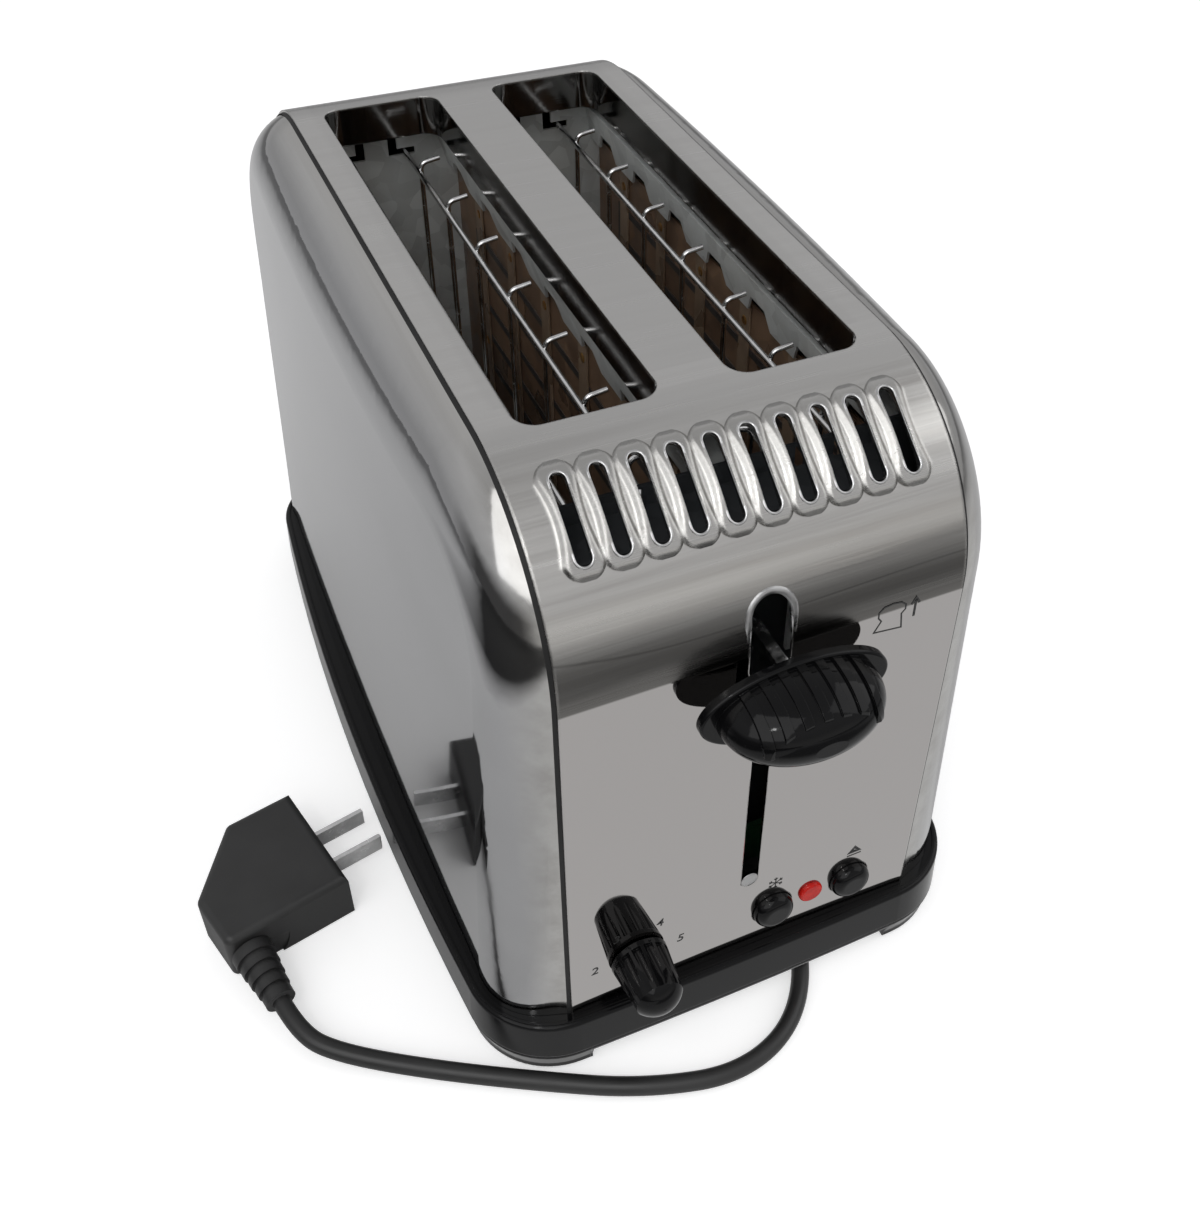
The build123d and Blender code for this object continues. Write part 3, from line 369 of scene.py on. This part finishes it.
def make_winding(name):
    """Lacquered copper wire wound in close turns."""
    paint = Paint(name, (0.45, 0.17, 0.07), 0.3, 1.0)
    turns = paint.node("ShaderNodeTexWave", {"Vector": paint.place(), "Scale": 700.0}, bands_direction="Z")
    tone = paint.tint(turns.outputs["Fac"], (0.0, (0.25, 0.08, 0.03)), (1.0, (0.6, 0.26, 0.1)))
    paint.to("Base Color", tone)
    paint.bump(turns.outputs["Fac"], 0.2, 0.6)
    return paint.material


def make_ink(name):
    """Black pad-printed ink, a little uneven."""
    paint = Paint(name, grey(0.012), 0.5)
    cover = paint.noise(1200, (1, 1, 1), 3.0)
    paint.to("Base Color", paint.tint(cover, (0.3, grey(0.008)), (0.75, grey(0.05))))
    return paint.material


shell_steel = make_shell_steel("shell_steel")
panel_steel = make_panel_steel("panel_steel")
sheet_steel = make_sheet_steel("sheet_steel", (0.6, 0.62, 0.61), 0.4, 0.2)
dark_steel = make_sheet_steel("dark_steel", (0.16, 0.17, 0.168), 0.4)
# Painted shade: a dark copy of the sheet steel, for the front bulkhead
painted_shade_steel = make_sheet_steel("painted_shade_steel", (0.06, 0.065, 0.07), 0.4)
frame_steel = make_sheet_steel("frame_steel", (0.2, 0.215, 0.21), 0.42)
plated = make_plated("plated")
base_gloss = make_gloss("base_gloss", parting=(9.0, 50.5))
black_gloss = make_gloss("black_gloss")
knob_gloss = make_gloss("knob_gloss", 0.004, 0.06, 0.08, 0.2)
rubber = make_rubber("rubber")
mica = make_mica("mica", (0.11, 0.065, 0.042), (0.3, 0.19, 0.12))
mica_light = make_mica("mica_light", (0.15, 0.1, 0.065), (0.36, 0.26, 0.18), 0.3)
ribbon = make_sheet_steel("ribbon", (0.11, 0.1, 0.095), 0.45, 0.6)
lens = make_lens("lens")
laminate = make_laminate("laminate")
winding = make_winding("winding")
black_matte = make_rubber("black_matte", 0.03, 0.5)
brass_eyelet = make_brass("brass_eyelet")
ink = make_ink("ink")

FINISHES = {
    shell_steel: ("centre_cover",),
    panel_steel: ("side_panel_left", "side_panel_right"),
    sheet_steel: (
        "rear_bulkhead", "bottom_plate", "centre_rail", "outer_rail_left", "outer_rail_right",
        "carriage", "crumb_tray", "guide_rods", "bread_rack_left", "bread_rack_right", "latch_armature",
    ),
    frame_steel: ("side_frame_left", "side_frame_right"),
    dark_steel: ("magnet_core", "lift_spring"),
    # Painted shade on the front bulkhead
    painted_shade_steel: ("front_bulkhead",),
    plated: (
        "bread_guard_left_outer", "bread_guard_left_inner", "bread_guard_right_inner",
        "bread_guard_right_outer", "base_screws", "timer_shaft", "plug_blades", "lever_arm",
    ),
    base_gloss: ("base",),
    black_gloss: ("crumb_tray_grip", "cord_gland"),
    knob_gloss: ("lever_knob", "timer_knob", "defrost_button", "cancel_button"),
    rubber: ("rubber_feet", "cord", "cord_sleeve", "plug_body"),
    mica: ("heater_board_left", "heater_board_centre", "heater_board_right"),
    mica_light: ("mica_bars",),
    ribbon: ("heater_ribbon_left", "heater_ribbon_centre", "heater_ribbon_right"),
    lens: ("indicator_lens",),
    laminate: ("control_board",),
    winding: ("magnet_coil",),
    black_matte: ("board_spacers", "brownness_control", "tact_switches"),
}


def dress(piece, material):
    piece.data.materials.clear()
    piece.data.materials.append(material)


dressed = set()
for material, names in FINISHES.items():
    for name in names:
        dress(nodes[name], material)
        dressed.add(name)
bare = sorted(set(nodes) - dressed)
if bare:
    raise SystemExit(f"nodes without a finish: {bare}")


def add_piece(name, mesh, material, body):
    piece = bpy.data.objects.new(name, mesh)
    scene.collection.objects.link(piece)
    mesh.materials.append(material)
    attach(piece, body)
    return piece


# Mains cord, out of the gland, in a hairpin under the base, round to the plug
CORD_Z = 3.0
CORD_WIDTH = 5.6
CORD_ROUTE = [
    (-30.0, -80.0, CORD_Z),
    (-30.0, -47.0, CORD_Z),
    (-33.0, -9.0, CORD_Z),
    (-34.0, 45.0, CORD_Z),
    (-32.5, 93.0, CORD_Z),
    (-13.5, 112.0, CORD_Z),
    (13.5, 112.0, CORD_Z),
    (32.5, 93.0, CORD_Z),
    (33.5, 43.0, CORD_Z),
    (31.0, -17.0, CORD_Z),
    (33.0, -69.0, CORD_Z),
    (28.0, -110.0, CORD_Z),
    (13.5, -140.0, CORD_Z),
    (-11.0, -151.0, CORD_Z),
    (-40.5, -143.0, CORD_Z),
    (-68.0, -128.0, CORD_Z),
    (-97.0, -110.5, CORD_Z),
    (-118.5, -96.0, 4.2),
    (-127.0, -86.5, 5.8),
    (-129.5, -74.5, 7.0),
]
cord_curve = bpy.data.curves.new("mains_cord", "CURVE")
cord_curve.dimensions = "3D"
line = cord_curve.splines.new("NURBS")
line.points.add(len(CORD_ROUTE) - 1)
for point, spot in zip(line.points, CORD_ROUTE):
    point.co = (*(Vector(spot) * MM), 1.0)
line.order_u = 3
line.use_endpoint_u = True
line.resolution_u = 16
cord_curve.bevel_depth = CORD_WIDTH / 2 * MM
cord_curve.bevel_resolution = 5
cord_curve.use_fill_caps = True
cord_curve.materials.append(rubber)
mains_cord = bpy.data.objects.new("mains_cord", cord_curve)
scene.collection.objects.link(mains_cord)
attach(mains_cord, "housing")
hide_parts("cord")
mains_cord.visible_glossy = False

# Printed marks on the front: dial numbers and generic pictograms
INK_LIFT = 0.04
INK_Y = FRONT_Y - INK_LIFT


def ribbon_mesh(name, lines, width):
    """Flat strokes just in front of the steel. Each line is a list of (x, z) in mm."""
    mesh = bpy.data.meshes.new(name)
    made = bmesh.new()
    for points in lines:
        flat = [Vector(p) for p in points]
        closed = (flat[0] - flat[-1]).length < 1e-6
        if closed:
            flat = flat[:-1]
        sides = []
        count = len(flat)
        for index, here in enumerate(flat):
            before = flat[index - 1] if closed or index > 0 else None
            after = flat[(index + 1) % count] if closed or index < count - 1 else None
            ways = [(here - before).normalized()] if before else []
            if after:
                ways.append((after - here).normalized())
            way = sum(ways, Vector((0, 0))).normalized()
            normal = Vector((-way.y, way.x))
            stretch = 1.0 / max(0.4, normal.dot(Vector((-ways[0].y, ways[0].x))))
            offset = normal * (width / 2 * stretch)
            sides.append([here + offset, here - offset])
        corners = [
            [made.verts.new((p.x * MM, INK_Y * MM, p.y * MM)) for p in pair]
            for pair in sides
        ]
        steps = range(count if closed else count - 1)
        for index in steps:
            a, b = corners[index], corners[(index + 1) % count]
            made.faces.new((a[0], a[1], b[1], b[0]))
    made.normal_update()
    made.to_mesh(mesh)
    made.free()
    return mesh


TOAST = [
    (29.4, 144.6), (31.2, 148.0), (30.2, 149.4), (30.2, 151.2), (31.6, 152.6), (34.2, 153.0), (36.6, 152.6),
    (38.0, 151.4), (38.0, 149.8), (37.0, 148.6), (37.6, 143.6), (29.4, 144.6),
]
ARROW_STEM = [(40.9, 146.2), (40.9, 152.0)]
ARROW_HEAD = [(39.7, 150.6), (40.9, 152.6), (42.1, 150.6)]
EJECT = [
    [(33.2, 51.0), (35.2, 53.6), (37.2, 51.0), (33.2, 51.0)],
    [(34.0, 51.4), (35.2, 52.9), (36.4, 51.4), (34.0, 51.4)],
    [(34.8, 51.7), (35.6, 51.7)],
    [(32.8, 49.8), (37.6, 49.8)],
]
STAR_CENTRE = Vector((8.9, 50.7))
STAR_ARM = 2.5
STAR_FORK = 1.6
STAR_BRANCH = 0.8
STAR_LEAN = math.radians(50)
star_lines = []
for step in range(3):
    angle = math.radians(60 * step + 30)
    way = Vector((math.cos(angle), math.sin(angle)))
    star_lines.append([STAR_CENTRE - way * STAR_ARM, STAR_CENTRE + way * STAR_ARM])
    for sign in (-1, 1):
        tip = STAR_CENTRE + way * STAR_FORK * sign
        for lean in (-1, 1):
            branch = Matrix.Rotation(lean * STAR_LEAN, 2) @ (way * sign)
            star_lines.append([tip, tip + branch * STAR_BRANCH])

for name, lines, width in (
    ("toast_mark", [TOAST], 0.45),
    ("arrow_mark", [ARROW_STEM, ARROW_HEAD], 0.7),
    ("star_mark", star_lines, 0.36),
    ("eject_mark", EJECT, 0.5),
):
    add_piece(name, ribbon_mesh(name, lines, width), ink, "housing")

DIAL = Vector((-34.6, 41.6))
DIAL_RING = 13.2
DIGIT_SIZE = 4.6
DIGIT_WEIGHT = 0.04
DIGIT_SLANT = 0.15
for digit, angle in ((2, 180), (3, 120), (4, 60), (5, 0)):
    text = bpy.data.curves.new(f"dial_{digit}", "FONT")
    text.body = str(digit)
    text.size = DIGIT_SIZE * MM
    text.offset = DIGIT_WEIGHT * MM
    text.align_x = "CENTER"
    text.align_y = "CENTER"
    text.shear = DIGIT_SLANT
    text.materials.append(ink)
    number = bpy.data.objects.new(f"dial_{digit}", text)
    spot = DIAL + Vector((math.cos(math.radians(angle)), math.sin(math.radians(angle)))) * DIAL_RING
    number.location = (spot.x * MM, INK_Y * MM, spot.y * MM)
    number.rotation_euler = (math.pi / 2, 0, 0)
    scene.collection.objects.link(number)
    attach(number, "housing")

# Painted shade: a black strip for the shadowed gap where each side panel meets the edge of the steel strip
SEAM_WIDTH = 1.1
SEAM_FALL = 0.35
SEAM_X = 55.02
SEAM_DEPTH = 0.72
SEAM_GAP = 0.3
ARCH_STEPS = 24


def arch_line(inset):
    """Outline of the body from the side, moved in by inset, as (y, z) points in mm."""
    radius = BEND - inset
    points = [(FRONT_Y + inset, LEDGE_Z + SEAM_GAP)]
    for centre_y, start in ((FRONT_Y + BEND, 180), (REAR_Y - BEND, 90)):
        for step in range(ARCH_STEPS + 1):
            angle = math.radians(start - 90 * step / ARCH_STEPS)
            points.append((centre_y + radius * math.cos(angle), BEND_Z + radius * math.sin(angle)))
    points.append((REAR_Y - inset, LEDGE_Z + SEAM_GAP))
    return points


# Painted shade: near-black material for the gap strips
gap_shade_black = make_rubber("gap_shade_black", 0.006, 0.6)
for side, word in ((-1, "left"), (1, "right")):
    seam_mesh = bpy.data.meshes.new(f"seam_{word}")
    shape = bmesh.new()
    rows = []
    for inset, x in ((SEAM_DEPTH, SEAM_X), (SEAM_DEPTH + SEAM_FALL, SEAM_X + SEAM_WIDTH)):
        rows.append([shape.verts.new((side * x * MM, y * MM, z * MM)) for y, z in arch_line(inset)])
    for a, b, c, d in zip(rows[0], rows[0][1:], rows[1][1:], rows[1]):
        shape.faces.new((a, b, c, d) if side < 0 else (d, c, b, a))
    shape.to_mesh(seam_mesh)
    shape.free()
    add_piece(f"seam_{word}", seam_mesh, gap_shade_black, "housing")


def bead(name, points, radius, material, fade=0):
    """Round bead along points in mm, thinner over its first and last fade points."""
    data = bpy.data.curves.new(name, "CURVE")
    data.dimensions = "3D"
    run = data.splines.new("POLY")
    run.points.add(len(points) - 1)
    for index, (point, place) in enumerate(zip(run.points, points)):
        point.co = (*(Vector(place) * MM), 1.0)
        if fade:
            point.radius = min(1.0, (index + 1) / fade, (len(points) - index) / fade)
    data.bevel_depth = radius * MM
    data.bevel_resolution = 3
    data.use_fill_caps = True
    return add_piece(name, data, material, "housing")


# Pressed bead round the top of the keyhole
KEYHOLE_HALF = 5.75
BEAD_OUT = 0.5
BEAD_STEP = 2.0
KEYHOLE_LOW = 146.0
KEYHOLE_TOP = 161.25
BEAD_RADIUS = 1.15
BEAD_DEPTH = 0.7
BEAD_ARC_STEPS = 16
bead_steel = make_plated("bead_steel", 0.5, 0.28)
reach = KEYHOLE_HALF + BEAD_OUT
rising = [(-reach, KEYHOLE_LOW + BEAD_STEP * step) for step in range(8)]
over = []
for step in range(BEAD_ARC_STEPS + 1):
    angle = math.radians(180 - 180 * step / BEAD_ARC_STEPS)
    over.append((reach * math.cos(angle), KEYHOLE_TOP + reach * math.sin(angle)))
around = rising + over + [(-x, z) for x, z in reversed(rising)]


def front_skin(z):
    """Y of the steel's front at height z."""
    rise = max(0.0, z - BEND_Z)
    return FRONT_Y + BEND - math.sqrt(BEND**2 - rise**2)


bead_line = [(x, front_skin(z) + BEAD_DEPTH, z) for x, z in around]
bead("keyhole_bead", bead_line, BEAD_RADIUS, bead_steel, fade=len(rising))

# Polished lip round each vent
VENT_COUNT = 10
VENT_PITCH = 9.5
VENT_HALF = 11.25
VENT_REACH = 2.05
VENT_TILT = math.radians(36.0)
RIM_HEIGHT = 0.95
LIP_RADIUS = 0.42
LIP_OUT = 0.25
LIP_ARC_STEPS = 12
lip_steel = make_plated("lip_steel", 0.6, 0.16)
lips = bpy.data.curves.new("vent_lips", "CURVE")
lips.dimensions = "3D"
lips.bevel_depth = LIP_RADIUS * MM
lips.bevel_resolution = 2
for index in range(VENT_COUNT):
    middle = (index - (VENT_COUNT - 1) / 2) * VENT_PITCH
    outline = []
    for end, start in ((1, 0.0), (-1, math.pi)):
        for step in range(LIP_ARC_STEPS + 1):
            angle = start + math.pi * step / LIP_ARC_STEPS
            across = (VENT_REACH + LIP_OUT) * math.cos(angle)
            along = end * (VENT_HALF - VENT_REACH) + (VENT_REACH + LIP_OUT) * math.sin(angle)
            outline.append((middle + across, along))
    run = lips.splines.new("POLY")
    run.points.add(len(outline) - 1)
    run.use_cyclic_u = True
    for point, (x, along) in zip(run.points, outline):
        out = math.sqrt((BEND + RIM_HEIGHT) ** 2 - along**2)
        y = FRONT_Y + BEND + along * math.cos(VENT_TILT) - out * math.sin(VENT_TILT)
        z = BEND_Z + along * math.sin(VENT_TILT) + out * math.cos(VENT_TILT)
        point.co = (x * MM, y * MM, z * MM, 1.0)
add_piece("vent_lips", lips, lip_steel, "housing")

# Pressed dimple under the lever's slot
DIMPLE_Z = 57.2
DIMPLE_SINK = 0.1
DIMPLE_SIZE = (2.7, 0.5, 2.7)
dimple_mesh = bpy.data.meshes.new("slot_dimple")
shape = bmesh.new()
bmesh.ops.create_uvsphere(shape, u_segments=32, v_segments=16, radius=1.0)
shape.to_mesh(dimple_mesh)
shape.free()
dimple_mesh.transform(Matrix.Diagonal((*(size * MM for size in DIMPLE_SIZE), 1.0)))
dimple_mesh.transform(Matrix.Translation((0, (FRONT_Y + DIMPLE_SINK) * MM, DIMPLE_Z * MM)))
for face in dimple_mesh.polygons:
    face.use_smooth = True
add_piece("slot_dimple", dimple_mesh, bead_steel, "housing")

# Brass eyelets at the tops, middles and bottoms of the mica strips. Each faces along X, by the sign given.
STRIP_MIDDLE = 9.5
STRIP_PITCH = 31.0
STRIP_COUNT = 6
EYELET_ZS = (162.0, 112.0, 56.0)
EYELET = {"radius1": 1.9 * MM, "radius2": 1.2 * MM, "depth": 0.5 * MM}
strip_ys = [STRIP_MIDDLE + STRIP_PITCH * (index - (STRIP_COUNT - 1) / 2) for index in range(STRIP_COUNT)]
for word, x, way in (
    ("left", -51.75, 1), ("centre_left", -1.25, -1), ("centre_right", 1.25, 1), ("right", 51.75, -1),
):
    eyelet_mesh = bpy.data.meshes.new(f"eyelets_{word}")
    shape = bmesh.new()
    facing = Matrix.Rotation(way * math.pi / 2, 3, "Y")
    for y in strip_ys:
        for z in EYELET_ZS:
            ring = bmesh.ops.create_cone(shape, cap_ends=True, segments=20, **EYELET)["verts"]
            bmesh.ops.rotate(shape, verts=ring, matrix=facing)
            bmesh.ops.translate(shape, verts=ring, vec=Vector((x, y, z)) * MM)
    shape.to_mesh(eyelet_mesh)
    shape.free()
    add_piece(f"eyelets_{word}", eyelet_mesh, brass_eyelet, "housing")

# Floor, white to the camera with the object's shadow on it, and a plain tabletop in reflections. Sizes and
# places from here on are in metres.
FLOOR_HALF = 6.0
FLOOR_DROP = 0.0002
FLOOR_WHITE = grey(0.86)
FLOOR_GLOW = 0.47
floor_mesh = bpy.data.meshes.new("floor")
shape = bmesh.new()
bmesh.ops.create_grid(shape, x_segments=1, y_segments=1, size=FLOOR_HALF)
shape.to_mesh(floor_mesh)
shape.free()
floor = bpy.data.objects.new("floor", floor_mesh)
floor.location = (0, 0, -FLOOR_DROP)
scene.collection.objects.link(floor)
floor_paint = Paint("floor", FLOOR_WHITE, 0.7)
path = floor_paint.node("ShaderNodeLightPath").outputs
ground = floor_paint.node("ShaderNodeTexCoord")
ground_x, ground_y, _ = floor_paint.where()
away = floor_paint.node("ShaderNodeVectorMath", {0: ground.outputs["Object"]}, operation="LENGTH")

# In reflections: darker with distance and on the left, and lit by itself, without shadow, in front
dark_left = floor_paint.times(
    floor_paint.span(ground_x, -0.22, -0.34, 0.0, 0.96), floor_paint.span(ground_y, 0.2, -0.05)
)
in_front = floor_paint.times(
    floor_paint.span(ground_y, -0.098, -0.11),
    floor_paint.span(ground_x, -0.09, -0.07),
    floor_paint.span(ground_x, 0.9, 0.4),
    path["Is Glossy Ray"],
)
tabletop = floor_paint.times(
    floor_paint.span(away.outputs["Value"], 0.6, 1.8, 0.73, 0.3),
    floor_paint.math("SUBTRACT", 1.0, dark_left),
    floor_paint.math("SUBTRACT", 1.0, in_front),
)
tabletop = floor_paint.node("ShaderNodeCombineColor", {"Red": tabletop, "Green": tabletop, "Blue": tabletop})
floor_paint.to(
    "Base Color", floor_paint.mix(path["Is Glossy Ray"], (*FLOOR_WHITE, 1.0), tabletop.outputs["Color"])
)
even = floor_paint.tint(
    floor_paint.span(ground_y, 0.0, -2.0),
    (0.13, grey(0.64)), (0.165, grey(0.17)), (0.36, grey(0.2)), (0.6, grey(0.4)), (0.9, grey(0.62)),
)
even = floor_paint.math("MAXIMUM", even, floor_paint.span(ground_x, 0.1, 0.6, 0.03, 0.4))
glow = floor_paint.math(
    "ADD", floor_paint.times(path["Is Camera Ray"], FLOOR_GLOW), floor_paint.times(in_front, even)
)
floor_paint.set("Emission Color", (1.0, 1.0, 1.0, 1.0))
floor_paint.to("Emission Strength", glow)
floor_paint.set("Specular IOR Level", 0.1)
floor_mesh.materials.append(floor_paint.material)

# World: a white backdrop for the camera and a plain room in reflections, pale in front and dark to the left
# near the horizon. Each pair is a height, from 0 straight down to 1 straight up, and a level.
ROOM = (
    (0.0, 0.5), (0.46, 0.5), (0.50, 0.44), (0.56, 0.42),
    (0.60, 0.46), (0.67, 0.54), (0.80, 0.62), (1.0, 0.44),
)
NEAR_HORIZON = ((0.38, 0.0), (0.47, 1.0), (0.57, 1.0), (0.66, 0.0))
world = bpy.data.worlds.new("studio")
scene.world = world
world.use_nodes = True
sky = Nodes(world.node_tree)
sky_x, sky_y, sky_z = sky.where("Generated")
raised = sky.span(sky_z, -1.0, 1.0)
room = sky.tint(raised, *((height, (level, level, level * 1.01)) for height, level in ROOM))
horizon = sky.tint(raised, *((height, grey(level)) for height, level in NEAR_HORIZON))
pale = sky.times(horizon, sky.span(sky_y, -0.5, -0.85, 0.0, 0.7))
room = sky.mix(pale, room, (0.85, 0.84, 0.82, 1.0))
left = sky.times(sky.span(sky_x, -0.3, -0.75, 0.0, 0.85), sky.span(sky_y, 0.45, 0.1))
room = sky.mix(sky.times(horizon, left), room, (0.012, 0.011, 0.011, 1.0))
camera_ray = sky.node("ShaderNodeLightPath").outputs["Is Camera Ray"]
sky.feed(sky.tree.nodes["Background"].inputs["Color"], sky.mix(camera_ray, room, (1.0, 1.0, 1.0, 1.0)))


def add_lamp(name, spot, target, size, power):
    data = bpy.data.lights.new(name, "AREA")
    data.shape = "RECTANGLE"
    data.size, data.size_y = size
    data.energy = power
    lamp = bpy.data.objects.new(name, data)
    lamp.location = spot
    way = Vector(target) - Vector(spot)
    lamp.rotation_euler = way.to_track_quat("-Z", "Y").to_euler()
    scene.collection.objects.link(lamp)


# Name, place, the point that it faces, its two sides, and its power in watts
add_lamp("key", (-1.0, -1.0, 1.7), (0, 0, 0.08), (2.0, 2.0), 15.0)
add_lamp("spark", (-0.75, -0.95, 1.6), (0, 0, 0.08), (0.16, 0.16), 1.6)
add_lamp("fill", (1.6, -0.5, 1.3), (0, 0, 0.1), (1.6, 1.6), 6.0)

scene.view_settings.view_transform = "Standard"
